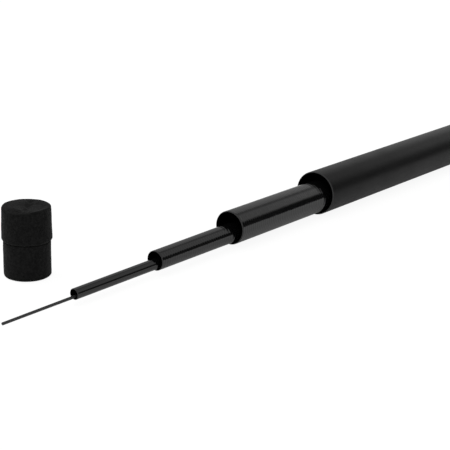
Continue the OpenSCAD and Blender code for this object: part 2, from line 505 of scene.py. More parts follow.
@dataclass(frozen=True)
class RawLaminate(Look):
    """The bare bore and the cut end of a blank."""

    pitch: float = 0.35 * MM
    depth: float = 0.03 * MM
    strength: float = 0.6
    dark: float = 0.8
    light: float = 1.25

    def dress(self, coat: Coat) -> None:
        """Lays faint rings in the colour and the height.

        Args:
            coat: The material that is being made.
        """
        rings = TURNED_LINES.place(coat.bench, vector=coat.vector, pitch=self.pitch)
        coat.give("Base Color", coat.bench.blend(
            rings.outputs["Mask"], self.shade(self.dark), self.shade(self.light)))
        coat.rise(rings.outputs["Height"], self.depth, self.strength)


@dataclass(frozen=True)
class Ground(Look):
    """A surface finished by grinding, turning or moulding round its axis."""

    pitch: float = 0.3 * MM
    depth: float = 0.004 * MM
    spread: float = 0.08
    smear_rough: float = 0.06
    dark: float = 0.92
    light: float = 1.08

    def dress(self, coat: Coat) -> None:
        """Lays the tool's rings in the roughness, the colour and the height.

        Args:
            coat: The material that is being made.
        """
        bench = coat.bench
        rings = TURNED_LINES.place(bench, vector=coat.vector, pitch=self.pitch)
        marks = HANDLING.place(bench, vector=coat.vector, amount=1.0)
        coat.give("Roughness", bench.total(
            self.roughness, bench.product(rings.outputs["Mask"], self.spread),
            bench.product(marks.outputs["Smear"], self.smear_rough)))
        coat.give("Base Color", bench.blend(
            rings.outputs["Mask"], self.shade(self.dark), self.shade(self.light)))
        coat.rise(rings.outputs["Height"], self.depth)


@dataclass(frozen=True)
class CutFoam(Look):
    """Closed-cell foam with a mottled skin."""

    cell: float = 1.3 * MM
    depth: float = 0.12 * MM
    dark: float = 0.5
    light: float = 1.5
    sheen: float = 0.025
    sheen_rough: float = 0.45

    def dress(self, coat: Coat) -> None:
        """Lays the cells in the colour and the height.

        Args:
            coat: The material that is being made.
        """
        cells = FOAM_CELLS.place(coat.bench, vector=coat.vector, cell=self.cell)
        coat.give("Base Color", coat.bench.blend(
            cells.outputs["Mask"], self.shade(self.dark), self.shade(self.light)))
        coat.give("Sheen Weight", self.sheen)
        coat.give("Sheen Roughness", self.sheen_rough)
        coat.rise(cells.outputs["Height"], self.depth)


BLACK = (0.0022, 0.0022, 0.0023)
GLOSS = UnsandedGloss("gloss_blank", BLACK, roughness=0.07)
THIN_GLOSS = UnsandedGloss("gloss_thin_blank", BLACK, roughness=0.07, pitch=1.4 * MM, ridge=0.022 * MM)
MATT = MattLacquer("matt_butt", (0.002, 0.002, 0.002), roughness=0.38, specular=0.12)
RAW = RawLaminate("raw_laminate", (0.0006, 0.0006, 0.0006), roughness=0.7, specular=0.0)
SANDED = Ground("sanded_edge", (0.034, 0.034, 0.034), roughness=0.5, specular=0.24, pitch=0.25 * MM)
TIP = Ground("ground_tip", (0.024, 0.024, 0.0245), roughness=0.36, specular=0.4, pitch=0.5 * MM)
ALUMINIUM = Ground("turned_aluminium", (0.6, 0.61, 0.62), roughness=0.24, metallic=1.0)
ANODISED = Ground("black_anodised", (0.018, 0.018, 0.019), roughness=0.34, specular=0.6, metallic=0.25)
RUBBER = Ground("soft_rubber", (0.01, 0.01, 0.01), roughness=0.5, specular=0.3, pitch=0.8 * MM)
CUSHION = CutFoam("pad_foam", (0.026, 0.026, 0.026), roughness=0.8, specular=0.25, cell=0.9 * MM)
STOPPER = CutFoam("stopper_foam", (0.0046, 0.0046, 0.0045), roughness=0.8, specular=0.12, light=1.9)


# Turned meshes


def arc(x: float, r: float, radius: float, start: float, end: float, steps: int = 6) -> list[Point]:
    """Lays points along an arc of an outline.

    Args:
        x: Station of the arc's centre.
        r: Distance of that centre from the axis.
        radius: Radius of the arc.
        start: Angle of its first point in degrees, 0 along the axis and 90 away from it.
        end: Angle of its last point.
        steps: Number of chords.

    Returns:
        Points as (station, distance from the axis).
    """
    angles = [math.radians(start + (end - start) * k / steps) for k in range(steps + 1)]
    return [(x + radius * math.cos(a), r + radius * math.sin(a)) for a in angles]


def dense(points: Sequence[Point], step: float) -> list[Point]:
    """Adds points to an outline.

    Args:
        points: The outline.
        step: The longest run that stays between two points.

    Returns:
        The outline with its added points.
    """
    made = [points[0]]
    for (x0, r0), (x1, r1) in zip(points, points[1:]):
        parts = max(1, math.ceil(math.hypot(x1 - x0, r1 - r0) / step))
        made += [(x0 + (x1 - x0) * k / parts, r0 + (r1 - r0) * k / parts) for k in range(1, parts + 1)]
    return made


def smooth(value: float, low: float, high: float) -> float:
    """Eases from 0 to 1 as a value goes from low to high."""
    t = min(1.0, max(0.0, (value - low) / (high - low)))
    return t * t * (3.0 - 2.0 * t)


def mesh_of(bm: bmesh.types.BMesh, name: str) -> bpy.types.Mesh:
    """Writes a bmesh to a new mesh.

    Args:
        bm: The bmesh, which is freed.
        name: Name of the mesh.

    Returns:
        The new mesh.
    """
    mesh = bpy.data.meshes.new(name)
    bm.to_mesh(mesh)
    bm.free()
    return mesh


def show(name: str, data: bpy.types.ID) -> bpy.types.Object:
    """Makes an object of a mesh, a camera or a lamp, and links it to the scene.

    Args:
        name: Name of the object.
        data: What it holds.

    Returns:
        The new object.
    """
    made = bpy.data.objects.new(name, data)
    bpy.context.scene.collection.objects.link(made)
    return made


@dataclass(frozen=True)
class Stretch:
    """A run of an outline with one look.

    Its points are (station, distance from the axis), in millimetres.
    """

    look: Look
    points: Sequence[Point]


@dataclass
class Turned:
    """A mesh turned about the local X axis, in millimetres, before it is put in place."""

    stretches: Sequence[Stretch]
    steps: int = 192
    sectors: int = 8
    weld_gap: float = 0.001
    bm: bmesh.types.BMesh = field(default_factory=bmesh.new)

    def spin(self) -> "Turned":
        """Turns one sector of each stretch, repeats it all round and welds it into one closed skin.

        Returns:
            The mesh itself.
        """
        about = {"cent": (0, 0, 0), "axis": (1, 0, 0), "dvec": (0, 0, 0)}
        sector = math.tau / self.sectors
        done = 0
        for number, stretch in enumerate(self.stretches):
            verts = [self.bm.verts.new((x, 0.0, r)) for x, r in stretch.points]
            edges = [self.bm.edges.new(pair) for pair in zip(verts, verts[1:])]
            steps = self.steps // self.sectors
            bmesh.ops.spin(self.bm, geom=verts + edges, angle=sector, steps=steps, **about)
            self.bm.faces.ensure_lookup_table()
            for face in self.bm.faces[done:]:
                face.material_index = number
            done = len(self.bm.faces)
        everything = [*self.bm.verts, *self.bm.edges, *self.bm.faces]
        bmesh.ops.spin(
            self.bm, geom=everything, angle=math.tau - sector, steps=self.sectors - 1,
            use_duplicate=True, **about)
        self.weld()
        return self

    def weld(self) -> None:
        """Merges doubles and turns the faces outwards."""
        bmesh.ops.remove_doubles(self.bm, verts=self.bm.verts, dist=self.weld_gap)
        bmesh.ops.recalc_face_normals(self.bm, faces=self.bm.faces)

    def shift(self, move: Callable[[Vector, Vector], Vector]) -> None:
        """Moves each corner.

        Args:
            move: Takes a corner's place and its normal, and gives its new place.
        """
        self.bm.normal_update()
        places = [move(v.co.copy(), v.normal.copy()) for v in self.bm.verts]
        for vert, place in zip(self.bm.verts, places):
            vert.co = place

    def sort(self) -> None:
        """Sorts corners, edges and faces by place, so that each run gives the same mesh."""
        ordered = sorted(self.bm.verts, key=lambda vert: tuple(vert.co))
        self.bm.verts.sort(key={vert: rank for rank, vert in enumerate(ordered)}.get)
        self.bm.verts.index_update()
        self.restart()
        for parts in (self.bm.edges, self.bm.faces):
            ordered = sorted(parts, key=lambda part: sorted(vert.index for vert in part.verts))
            parts.sort(key={part: rank for rank, part in enumerate(ordered)}.get)

    def restart(self) -> None:
        """Makes the faces of more than four corners again, each started at its first sorted corner.

        A cut leaves such faces started at any of their corners.
        """
        for face in [face for face in self.bm.faces if len(face.verts) > 4]:
            corners, look = list(face.verts), face.material_index
            first = corners.index(min(corners, key=lambda vert: vert.index))
            self.bm.faces.remove(face)
            again = self.bm.faces.new(corners[first:] + corners[:first])
            again.material_index = look

    def finish(self, name: str, place: Matrix, axis: Axis, crease: float = 28.0) -> bpy.types.Object:
        """Makes the object, at the origin, with its place in its mesh.

        Args:
            name: Name of the piece.
            place: Takes local millimetres to the shared frame.
            axis: The line that its patterns wind round.
            crease: Angle in degrees past which an edge is shaded sharp.

        Returns:
            The new object.
        """
        self.sort()
        self.bm.transform(place)
        for face in self.bm.faces:
            face.smooth = True
        mesh = mesh_of(self.bm, name)
        mesh.set_sharp_from_angle(angle=math.radians(crease))
        for stretch in self.stretches:
            mesh.materials.append(stretch.look.material(axis))
        return show(name, mesh)


def add(bm: bmesh.types.BMesh, other: bmesh.types.BMesh) -> None:
    """Adds another mesh's corners and faces to a mesh.

    Args:
        bm: The mesh that grows.
        other: The mesh that is added, which is freed.
    """
    mesh = mesh_of(other, "added")
    bm.from_mesh(mesh)
    bpy.data.meshes.remove(mesh)


def carve(bm: bmesh.types.BMesh, cutter: bmesh.types.BMesh) -> None:
    """Cuts one closed mesh out of another.

    Args:
        bm: The mesh that is cut.
        cutter: What is cut out of it, which is freed.
    """
    solid = show("carved", mesh_of(bm.copy(), "carved"))
    tool = show("cutter", mesh_of(cutter, "cutter"))
    cut = solid.modifiers.new("cut", "BOOLEAN")
    cut.operation = "DIFFERENCE"
    cut.solver = "EXACT"
    cut.object = tool
    graph = bpy.context.evaluated_depsgraph_get()
    left = bpy.data.meshes.new_from_object(solid.evaluated_get(graph))
    bm.clear()
    bm.from_mesh(left)
    for mesh in (left, solid.data, tool.data):
        bpy.data.meshes.remove(mesh)


def settle(piece: bpy.types.Object, body: str, node: str, slot: Slot) -> bpy.types.Object:
    """Puts a finished piece on its body in place of its solid.

    Args:
        piece: The piece.
        body: The body that it rides on.
        node: The solid that it stands for.
        slot: The record's slot for its finish. It is not used.

    Returns:
        The piece.
    """
    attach(piece, body)
    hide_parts(node)
    return piece


# The pole


# The gap left round a wedged section, and how much of it stays inside, in millimetres.
SLIP = 0.15
OVERLAP = 75.0


def wedged(front: float, bore: float, length: float) -> float:
    """Works out the rear radius of a section that wedges in the mouth around it when it is drawn out.

    Args:
        front: The section's own radius at its mouth, in millimetres.
        bore: The radius of the mouth around it.
        length: The section's length.

    Returns:
        The radius of its rear end.
    """
    return front + (bore - SLIP - front) * length / (length - OVERLAP)


@dataclass(frozen=True)
class Blank:
    """One hollow section: a cone with a chamfered mouth. Sizes are in millimetres.

    A section with a grip is parallel and ribbed at its rear.
    """

    name: str
    node: str
    body: str
    slot: Slot
    shell: Look
    mouth_d: float
    mouth_wall: float
    rear_wall: float
    grip_d: float = 0.0
    grip_len: float = 0.0
    chamfer: float = 0.6
    chamfer_share: float = 0.6
    bevel: float = 0.3
    bevel_share: float = 0.2
    soften_share: float = 0.2
    rib: float = 2.4
    groove_w: float = 0.35
    groove_floor: float = 0.07
    groove_depth: float = 0.25
    plain_front: float = 3.0
    plain_rear: float = 12.0

    def mouth_bore(self) -> float:
        """Returns the bore's radius at the mouth."""
        return self.mouth_d / 2 - self.mouth_wall

    def ribs(self, start: float, end: float, rear: float) -> list[Point]:
        """Lays the narrow grooves that leave the hold ribbed.

        Args:
            start: Station of the first rib's front.
            end: Station that the last rib stays in front of.
            rear: The radius of the hold.

        Returns:
            The outline of the grooves.
        """
        low = rear - self.groove_depth
        top, floor = self.groove_w / 2, self.groove_floor / 2
        made = []
        for k in range(int((end - start) / self.rib)):
            x = start + (k + 0.5) * self.rib
            made += [(x - top, rear), (x - floor, low), (x + floor, low), (x + top, rear)]
        return made

    def outline(self, length: float, around: float) -> list[Stretch]:
        """Lays the section's skin: its outside, its bore with the cut ends, and its sanded chamfer.

        Args:
            length: The section's length.
            around: The radius of the bore that it slides in.

        Returns:
            The stretches, from the chamfer to the rear and back through the bore.
        """
        front = self.mouth_d / 2
        rear = self.grip_d / 2 if self.grip_len else wedged(front, around, length)
        cone = length - self.grip_len
        chamfer = min(self.chamfer, self.chamfer_share * self.mouth_wall)
        bevel = min(self.bevel, self.bevel_share * self.mouth_wall)
        soften = self.soften_share * chamfer
        inner = front - chamfer
        outer = front + (rear - front) / cone * chamfer
        # Two small arcs take the sharpness off the chamfer's corners.
        corner = arc(chamfer + soften * 0.4, outer - soften, soften, 120, 90, 3)
        lip = arc(soften * 1.2, inner + soften * 0.2, soften, 180, 135, 2)
        rim = [(0.0, inner), *lip, corner[0]]
        if self.grip_len:
            ribs = self.ribs(cone + self.plain_front, length - self.plain_rear, rear)
            outside = [*corner, (cone, rear), *ribs, (length, rear)]
            behind = [(length, rear), (length, rear - self.rear_wall), (cone, rear - self.rear_wall)]
        else:
            outside = [*corner, (length / 2, (front + rear) / 2), (length - bevel, rear)]
            behind = [(length - bevel, rear), (length, rear - bevel), (length, rear - self.rear_wall)]
        bore = self.mouth_bore()
        inside = [(bevel, bore), (0.0, bore + bevel), (0.0, inner)]
        return [Stretch(self.shell, outside), Stretch(RAW, behind + inside), Stretch(SANDED, rim)]

    def build(self, frame: Frame, around: float) -> bpy.types.Object:
        """Builds the section on its solid's axis.

        Args:
            frame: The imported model.
            around: The radius of the bore that it slides in.

        Returns:
            The piece.
        """
        axis = Axis.of(frame["nodes"][self.node])
        shape = Turned(self.outline(axis.length / MM, around)).spin()
        return settle(shape.finish(self.name, axis.place(), axis), self.body, self.node, self.slot)


@dataclass(frozen=True)
class TipSection:
    """The solid tip, glued into its hollow rear part. Sizes are in millimetres."""

    tip_d: float = 1.6
    end_len: float = 8.0
    splice_d: float = 1.56
    splice_len: float = 35.0
    splice_room: float = 1.0
    glue: float = 0.02
    rear_wall: float = 0.6
    bevel: float = 0.3
    solid_steps: int = 64
    hollow_steps: int = 96

    def build(self, frame: Frame, around: float) -> list[bpy.types.Object]:
        """Builds the solid tip and the hollow part behind it.

        Args:
            frame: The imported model.
            around: The radius of the bore that the section slides in.

        Returns:
            Both pieces.
        """
        front = Axis.of(frame["nodes"]["solid_tip"])
        behind = Axis.of(frame["nodes"]["tip_blank"])
        shoulder = front.length / MM - self.splice_len + self.splice_room
        whole = shoulder + behind.length / MM
        rear = wedged(self.tip_d / 2, around, whole)
        joint = self.tip_d / 2 + (rear - self.tip_d / 2) * shoulder / whole
        return [self.solid(front, shoulder, joint), self.hollow(behind, joint, rear)]

    def solid(self, axis: Axis, shoulder: float, joint: float) -> bpy.types.Object:
        """Builds the ground solid tip with its rounded bare end and its spigot.

        Args:
            axis: Its axis.
            shoulder: Station of the shoulder that meets the hollow part.
            joint: Radius there.

        Returns:
            The piece.
        """
        length = axis.length / MM
        r, splice = self.tip_d / 2, self.splice_d / 2
        curve = self.tip_d / 6
        outside = [
            (0.0, 0.0), (0.0, r - curve), *arc(curve, r - curve, curve, 180, 90, 4),
            (self.end_len, r), (shoulder, joint), (shoulder, splice), (length, splice), (length, 0.0)]
        shape = Turned([Stretch(TIP, outside)], self.solid_steps).spin()
        piece = shape.finish("tip_solid", axis.place(), axis)
        return settle(piece, "tip_section", "solid_tip", Slot.SOLID_CARBON)

    def hollow(self, axis: Axis, front: float, rear: float) -> bpy.types.Object:
        """Builds the hollow part, with the socket for the spigot at its front.

        Args:
            axis: Its axis.
            front: Its radius at the front.
            rear: Its radius at the rear.

        Returns:
            The piece.
        """
        length = axis.length / MM
        socket = self.splice_d / 2 + self.glue
        outside = [(0.0, front), (length / 2, (front + rear) / 2), (length - self.bevel, rear)]
        behind = [
            outside[-1], (length, rear - self.bevel), (length, rear - self.rear_wall),
            (self.splice_len, socket), (0.0, socket), (0.0, front)]
        shape = Turned([Stretch(THIN_GLOSS, outside), Stretch(RAW, behind)], self.hollow_steps).spin()
        piece = shape.finish("tip_hollow", axis.place(), axis)
        return settle(piece, "tip_section", "tip_blank", Slot.GLOSS_CARBON)


@dataclass(frozen=True)
class Pole:
    """The blanks, from the butt to the tip."""

    blanks: tuple[Blank, ...] = (
        Blank("butt", "butt_blank", "butt", Slot.MATT_CARBON, MATT,
              mouth_d=30.0, mouth_wall=1.3, rear_wall=1.0, grip_d=35.6, grip_len=160.0),
        Blank("second_section", "section_2_blank", "section_2", Slot.GLOSS_CARBON, GLOSS,
              mouth_d=21.4, mouth_wall=0.9, rear_wall=0.6),
        Blank("third_section", "section_3_blank", "section_3", Slot.GLOSS_CARBON, GLOSS,
              mouth_d=11.9, mouth_wall=0.65, rear_wall=0.9),
        Blank("fourth_section", "section_4_blank", "section_4", Slot.GLOSS_CARBON, THIN_GLOSS,
              mouth_d=6.3, mouth_wall=0.65, rear_wall=0.7))
    tip: TipSection = TipSection()

    def build(self, frame: Frame) -> list[bpy.types.Object]:
        """Builds every section, each to fit the bore around it.

        Args:
            frame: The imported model.

        Returns:
            The pieces.
        """
        made = []
        around = 0.0
        for blank in self.blanks:
            made.append(blank.build(frame, around))
            around = blank.mouth_bore()
        return made + self.tip.build(frame, around)


# The fittings


@dataclass(frozen=True)
class MouthStopper:
    """The foam stopper, standing on the free end of its spigot. Sizes are in millimetres.

    Its top has a worn front edge and a creased dish, with a low swelling beside it. Vectors across
    the top hold local Z and Y.
    """

    head_d: float = 28.2
    head_h: float = 19.8
    spigot_d: float = 26.7
    spigot_len: float = 21.0
    draft: float = -0.05
    flare: float = 0.2
    crown: float = 0.3
    foot: float = 1.4
    under_edge: float = 1.5
    top_edge: float = 1.1
    nick: float = 0.4
    skin: float = 0.1
    run: float = 0.55
    lump: float = 0.11
    lump_scales: Point = (0.75, 1.9)
    lump_shares: Point = (0.6, 0.4)
    swell: float = 1.4
    swell_scale: float = 0.16
    swell_from: Vector = fixed(3.1, 0.4, 7.7)
    flat_foot: float = 0.5
    flat_share: float = 0.4
    worn: float = 1.9
    worn_side: Vector = fixed(0.98, -0.18)
    worn_reach: Point = (8.0, 14.1)
    worn_depth: Point = (4.0, 0.8)
    top_band: float = 1.2
    dish: float = 0.75
    dish_aside: Vector = fixed(0.1, -3.0)
    dish_from: float = 4.32
    dish_skew: float = 0.312
    dish_to: float = 10.4
    bulge: float = 0.22
    bulge_r: float = 11.0
    bulge_w: float = 0.9
    crease: float = 1.1
    crease_side: Vector = fixed(-0.6, -0.8)
    crease_off: float = 1.2
    crease_w: float = 1.9
    crease_wave: float = 1.5
    crease_scale: float = 0.2
    crease_fade: Point = (8.0, 11.5)

    def top(self) -> float:
        """Returns the height of the top's middle before it is dished."""
        return self.spigot_len + self.head_h + self.crown

    def outline(self) -> list[Point]:
        """Lays the spigot from its free end, the head's rounded lower edge and its top.

        Returns:
            The outline.
        """
        spigot, r, top = self.spigot_d / 2, self.head_d / 2 - self.skin, self.top() - self.skin
        low, base, high = spigot - self.draft, r + self.flare, r - self.flare
        root = self.spigot_len - self.skin
        foot, under, over = self.foot, self.under_edge, self.top_edge
        return dense([
            (0.0, 0.0), (0.0, low - foot), *arc(foot, low - foot, foot, 180, 90, 7),
            (root - self.nick, spigot), (root, spigot - self.nick),
            *arc(self.spigot_len + under, base - under, under, 180, 90, 7),
            *arc(top - over, high - over, over, 90, 0, 7), (top, 0.0)], self.run)

    def lift(self, place: Vector) -> float:
        """Works out how far the uneven skin stands out. The foot is flatter and only goes inwards.

        Args:
            place: A corner of the turned mesh.

        Returns:
            The distance along the corner's normal.
        """
        lumps = sum(noise.noise(place * scale) * share
                    for scale, share in zip(self.lump_scales, self.lump_shares))
        swell = noise.noise(place * self.swell_scale + self.swell_from) * self.swell
        lift = self.lump * (lumps + swell)
        return min(lift, 0.0) * self.flat_share if place.x < self.flat_foot else lift

    def wear(self, flat: Vector, height: float) -> float:
        """Works out how far the front of the top's edge is worn down.

        Args:
            flat: A corner's place across the top.
            height: Its height.

        Returns:
            The drop.
        """
        start, end = (self.top() - depth for depth in self.worn_depth)
        if height <= start or flat.length <= 1.0:
            return 0.0
        side = max(0.0, flat.normalized().dot(self.worn_side)) ** 2
        return self.worn * side * smooth(flat.length, *self.worn_reach) * smooth(height, start, end)

    def dent(self, flat: Vector, place: Vector) -> float:
        """Works out the dish, the swelling beside it and the crease across it.

        Args:
            flat: A corner's place across the top.
            place: The corner.

        Returns:
            The rise, which is below 0 in the dish and the crease.
        """
        out = flat - self.dish_aside
        start = self.dish_from + self.dish_skew * out.dot(self.crease_side)
        sunk = self.dish * (1.0 - smooth(out.length, start, self.dish_to))
        beside = max(0.0, out.normalized().dot(self.crease_side))
        bulge = self.bulge * math.exp(-((out.length - self.bulge_r) / self.bulge_w) ** 2) * beside
        wave = self.crease_wave * noise.noise(place * self.crease_scale)
        across = flat.dot(self.crease_side) - self.crease_off + wave
        fade = 1.0 - smooth(flat.length, *self.crease_fade)
        return bulge - sunk - self.crease * math.exp(-(across / self.crease_w) ** 2) * fade

    def move(self, place: Vector, normal: Vector) -> Vector:
        """Roughens the skin, wears the edge and dents the top.

        Args:
            place: A corner of the turned mesh.
            normal: Its normal.

        Returns:
            Its new place.
        """
        moved = place + normal * self.lift(place)
        flat = Vector((place.z, place.y, 0.0))
        moved.x -= self.wear(flat, place.x)
        if place.x > self.top() - self.top_band:
            moved.x += self.dent(flat, place)
        return moved

    def build(self, frame: Frame) -> bpy.types.Object:
        """Builds the stopper where its solid stands.

        Args:
            frame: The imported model.

        Returns:
            The piece.
        """
        low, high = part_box("foam_stopper")
        middle = Vector(((low.x + high.x) / 2, (low.y + high.y) / 2, 0.0))
        axis = Axis(middle, Vector((1, 0, 0)), high.z)
        upright = Matrix.Rotation(-math.pi / 2, 4, "Y") @ Matrix.Scale(MM, 4)
        shape = Turned([Stretch(STOPPER, self.outline())]).spin()
        shape.shift(self.move)
        piece = shape.finish("mouth_stopper", Matrix.Translation(middle) @ upright, axis, SOFT_CREASE)
        return settle(piece, "stopper", "foam_stopper", Slot.STOPPER_FOAM)


@dataclass(frozen=True)
class ScrewCap:
    """The turned cap, its ring in the butt, its seal and its cushion.

    Sizes are in millimetres. Stations are measured backwards from the front of the cap's head.
    """

    head_r: float = 17.6
    head_len: float = 9.0
    head_edge: float = 0.5
    rim: float = 1.2
    spigot_from: float = -19.3
    lead_in: float = 0.4
    hollow_from: float = -13.3
    hollow_to: float = -1.0
    hollow_r: float = 10.7
    cup_r: float = 12.2
    root_r: float = 13.6
    crest_r: float = 14.4
    thread_from: float = -11.0
    thread_to: float = -3.0
    thread_steps: int = 72
    thread_sunk: float = 0.1
    thread_short: float = 0.8
    run_out: Point = (0.4, 1.0)
    pitch: float = 2.0
    groove_w: float = 2.4
    groove_r: float = 13.35
    face_groove_r: float = 13.2
    face_groove: float = 0.45
    flutes: int = 36
    flute_r: float = 1.1
    flute_from: float = 1.4
    flute_rise: float = 0.6
    flute_end: float = 0.4
    flute_steps: int = 12
    flute_run: float = 0.35
    slot_len: float = 24.0
    slot_w: float = 2.4
    slot_depth: float = 3.0
    slot_flare: float = 0.2
    drain_r: float = 1.25
    ring_len: float = 18.0
    ring_inset: float = 0.82
    ring_edge: float = 0.5
    flange: float = 2.0
    flange_edge: float = 0.4
    flange_break: float = 0.1
    thread_play: float = 0.2
    seat: float = 0.8
    gap: float = 0.3
    seal_r: float = 1.0
    seal_play: float = 0.05
    seal_edge: float = 0.3
    cushion_from: float = -23.3
    cushion_r: float = 12.15
    cushion_edge: float = 0.8
    cushion_hole_r: float = 2.0
    cushion_bevel: Point = (0.3, 0.4)
    cushion_run: float = 0.5
    cushion_steps: int = 144
    cushion_pit: float = 0.07
    cushion_scale: float = 1.3

    def build(self, frame: Frame) -> list[bpy.types.Object]:
        """Builds the four pieces on the butt's axis.

        Args:
            frame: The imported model.

        Returns:
            The pieces.
        """
        butt = Axis.of(frame["nodes"]["butt_blank"])
        axis = butt.shifted(butt.length + (self.flange + self.gap) * MM)
        return [self.cap(axis), self.ring(axis), self.seal(axis), self.cushion(axis)]

    def cap(self, axis: Axis) -> bpy.types.Object:
        """Builds the cap with its thread, flutes, drain hole and coin slot.

        Args:
            axis: The line from the front of its head.

        Returns:
            The piece.
        """
        end, rim, r, edge = self.head_len, self.rim, self.head_r, self.head_edge
        outline = [
            (end, self.drain_r), (self.hollow_to, self.drain_r), (self.hollow_to, self.hollow_r),
            (self.hollow_from, self.hollow_r), (self.hollow_from, self.cup_r),
            (self.spigot_from, self.cup_r), (self.spigot_from, self.root_r - self.lead_in),
            (self.spigot_from + self.lead_in, self.root_r), (self.thread_to, self.root_r),
            (self.thread_to, self.crest_r), (-self.groove_w, self.crest_r),
            (-self.groove_w, self.groove_r), (0.0, self.groove_r), (0.0, r - edge),
            *arc(edge, r - edge, edge, 180, 90, 4),
            *dense([(edge + 0.1, r), (end - rim, r)], self.flute_run),
            *arc(end - rim, r - rim, rim, 90, 0, 8),
            *arc(end, self.face_groove_r, self.face_groove, 90, 270, 6), (end, self.drain_r)]
        shape = Turned([Stretch(ANODISED, outline)], self.flutes * self.flute_steps, self.flutes).spin()
        shape.shift(self.flute)
        carve(shape.bm, self.slot_cutter())
        add(shape.bm, self.ridge())
        piece = shape.finish("screw_cap", axis.place(), axis)
        return settle(piece, "screw_cap", "butt_cap", Slot.BLACK_ANODISED)

    def flute(self, place: Vector, normal: Vector) -> Vector:
        """Sinks a corner of the head into the nearest flute.

        Args:
            place: A corner of the turned mesh.
            normal: Its normal, which doesn't count here.

        Returns:
            Its new place.
        """
        if not self.flute_from < place.x < self.head_len:
            return place
        out = math.hypot(place.y, place.z)
        apart = math.tau / self.flutes
        angle = math.atan2(place.y, place.z)
        off = angle - round(angle / apart) * apart
        middle = self.head_r + self.flute_r / 2
        across = middle * math.sin(off)
        if abs(across) >= self.flute_r:
            return place
        bottom = middle * math.cos(off) - math.sqrt(self.flute_r ** 2 - across ** 2)
        end = self.head_len - self.flute_end
        fade = smooth(place.x, self.flute_from, self.flute_from + self.flute_rise)
        fade *= 1.0 - smooth(place.x, end - self.rim, end)
        factor = 1.0 - fade * max(0.0, out - bottom) / out
        return Vector((place.x, place.y * factor, place.z * factor))

    def ridge(self) -> bmesh.types.BMesh:
        """Winds the thread's ridge round the spigot, with a run-out at both ends.

        Returns:
            The ridge.
        """
        bm = bmesh.new()
        start, pitch, root, crest = self.thread_from, self.pitch, self.root_r, self.crest_r
        foot = root - self.thread_sunk
        profile = ((0.1, root), (0.4, crest), (0.6, crest), (0.9, root), (0.9, foot), (0.1, foot))
        verts = [bm.verts.new((start + share * pitch, 0.0, r)) for share, r in profile]
        face = bm.faces.new(verts)
        turns = (self.thread_to - start) / pitch - self.thread_short
        bmesh.ops.spin(
            bm, geom=[*verts, *face.edges, face], cent=(0, 0, 0), axis=(1, 0, 0),
            dvec=(pitch / self.thread_steps, 0, 0), angle=math.tau * turns,
            steps=round(self.thread_steps * turns))
        last = start + turns * pitch + pitch
        near, far = (share * pitch for share in self.run_out)
        for vert in bm.verts:
            out = math.hypot(vert.co.y, vert.co.z)
            if out > root:
                share = smooth(vert.co.x, start + near, start + far)
                share *= 1.0 - smooth(vert.co.x, last - far, last - near)
                factor = (root + (out - root) * share) / out
                vert.co.y *= factor
                vert.co.z *= factor
        bmesh.ops.recalc_face_normals(bm, faces=bm.faces)
        return bm

    def slot_cutter(self) -> bmesh.types.BMesh:
        """Builds the block that cuts the coin slot, with a small flare for the slot's edges.

        Returns:
            The block.
        """
        bm = bmesh.new()
        flare = self.slot_flare
        upright = Matrix.Rotation(math.pi / 2, 3, "Y")
        bmesh.ops.create_grid(bm, x_segments=1, y_segments=1, size=0.5)
        bmesh.ops.rotate(bm, verts=bm.verts, cent=(0, 0, 0), matrix=upright)
        bmesh.ops.scale(bm, verts=bm.verts, vec=(1.0, self.slot_len, self.slot_w))
        bmesh.ops.translate(bm, verts=bm.verts, vec=(self.head_len - self.slot_depth, 0, 0))
        floor = top = bm.faces[:]
        for rise, wider in ((self.slot_depth - flare, 0.0), (2 * flare, 2 * flare)):
            made = bmesh.ops.extrude_face_region(bm, geom=top)["geom"]
            if top != floor:
                bmesh.ops.delete(bm, geom=top, context="FACES_ONLY")
            corners = [v for v in made if isinstance(v, bmesh.types.BMVert)]
            top = [f for f in made if isinstance(f, bmesh.types.BMFace)]
            for vert in corners:
                y, z = (math.copysign(wider, part) for part in vert.co.yz)
                vert.co += Vector((rise, y, z))
        bmesh.ops.recalc_face_normals(bm, faces=bm.faces)
        return bm

    def ring(self, axis: Axis) -> bpy.types.Object:
        """Builds the ring that is glued into the butt, with its flange and its bore.

        Args:
            axis: The line from the front of the cap's head.

        Returns:
            The piece.
        """
        front, back, seat = -self.gap - self.ring_len, -self.gap, -self.gap - self.flange
        bore, seal = self.crest_r + self.thread_play, self.crest_r + self.seal_r + self.seal_play
        r, edge, bevel = self.head_r, self.ring_edge, self.flange_edge
        body = r - self.ring_inset
        step, dull, lead = -self.groove_w - self.seat, self.flange_break, self.seal_edge
        outline = [
            (front, bore + edge), (front, body - edge), (front + edge, body), (seat, body),
            (seat, r - dull), (seat + dull, r), (back - bevel, r), (back, r - bevel),
            (back, seal + lead), (back - lead, seal), (step, seal), (step, bore),
            (front + edge, bore), (front, bore + edge)]
        piece = Turned([Stretch(ALUMINIUM, outline)]).spin().finish("thread_ring", axis.place(), axis)
        return settle(piece, "butt", "thread_insert", Slot.BARE_ALUMINIUM)

    def seal(self, axis: Axis) -> bpy.types.Object:
        """Builds the rubber ring in the cap's groove.

        Args:
            axis: The line from the front of the cap's head.

        Returns:
            The piece.
        """
        outline = arc(-self.groove_w / 2, self.crest_r, self.seal_r, 0, 360, 24)
        piece = Turned([Stretch(RUBBER, outline)]).spin().finish("seal_ring", axis.place(), axis)
        return settle(piece, "cap_seals", "cap_o_ring", Slot.RUBBER)

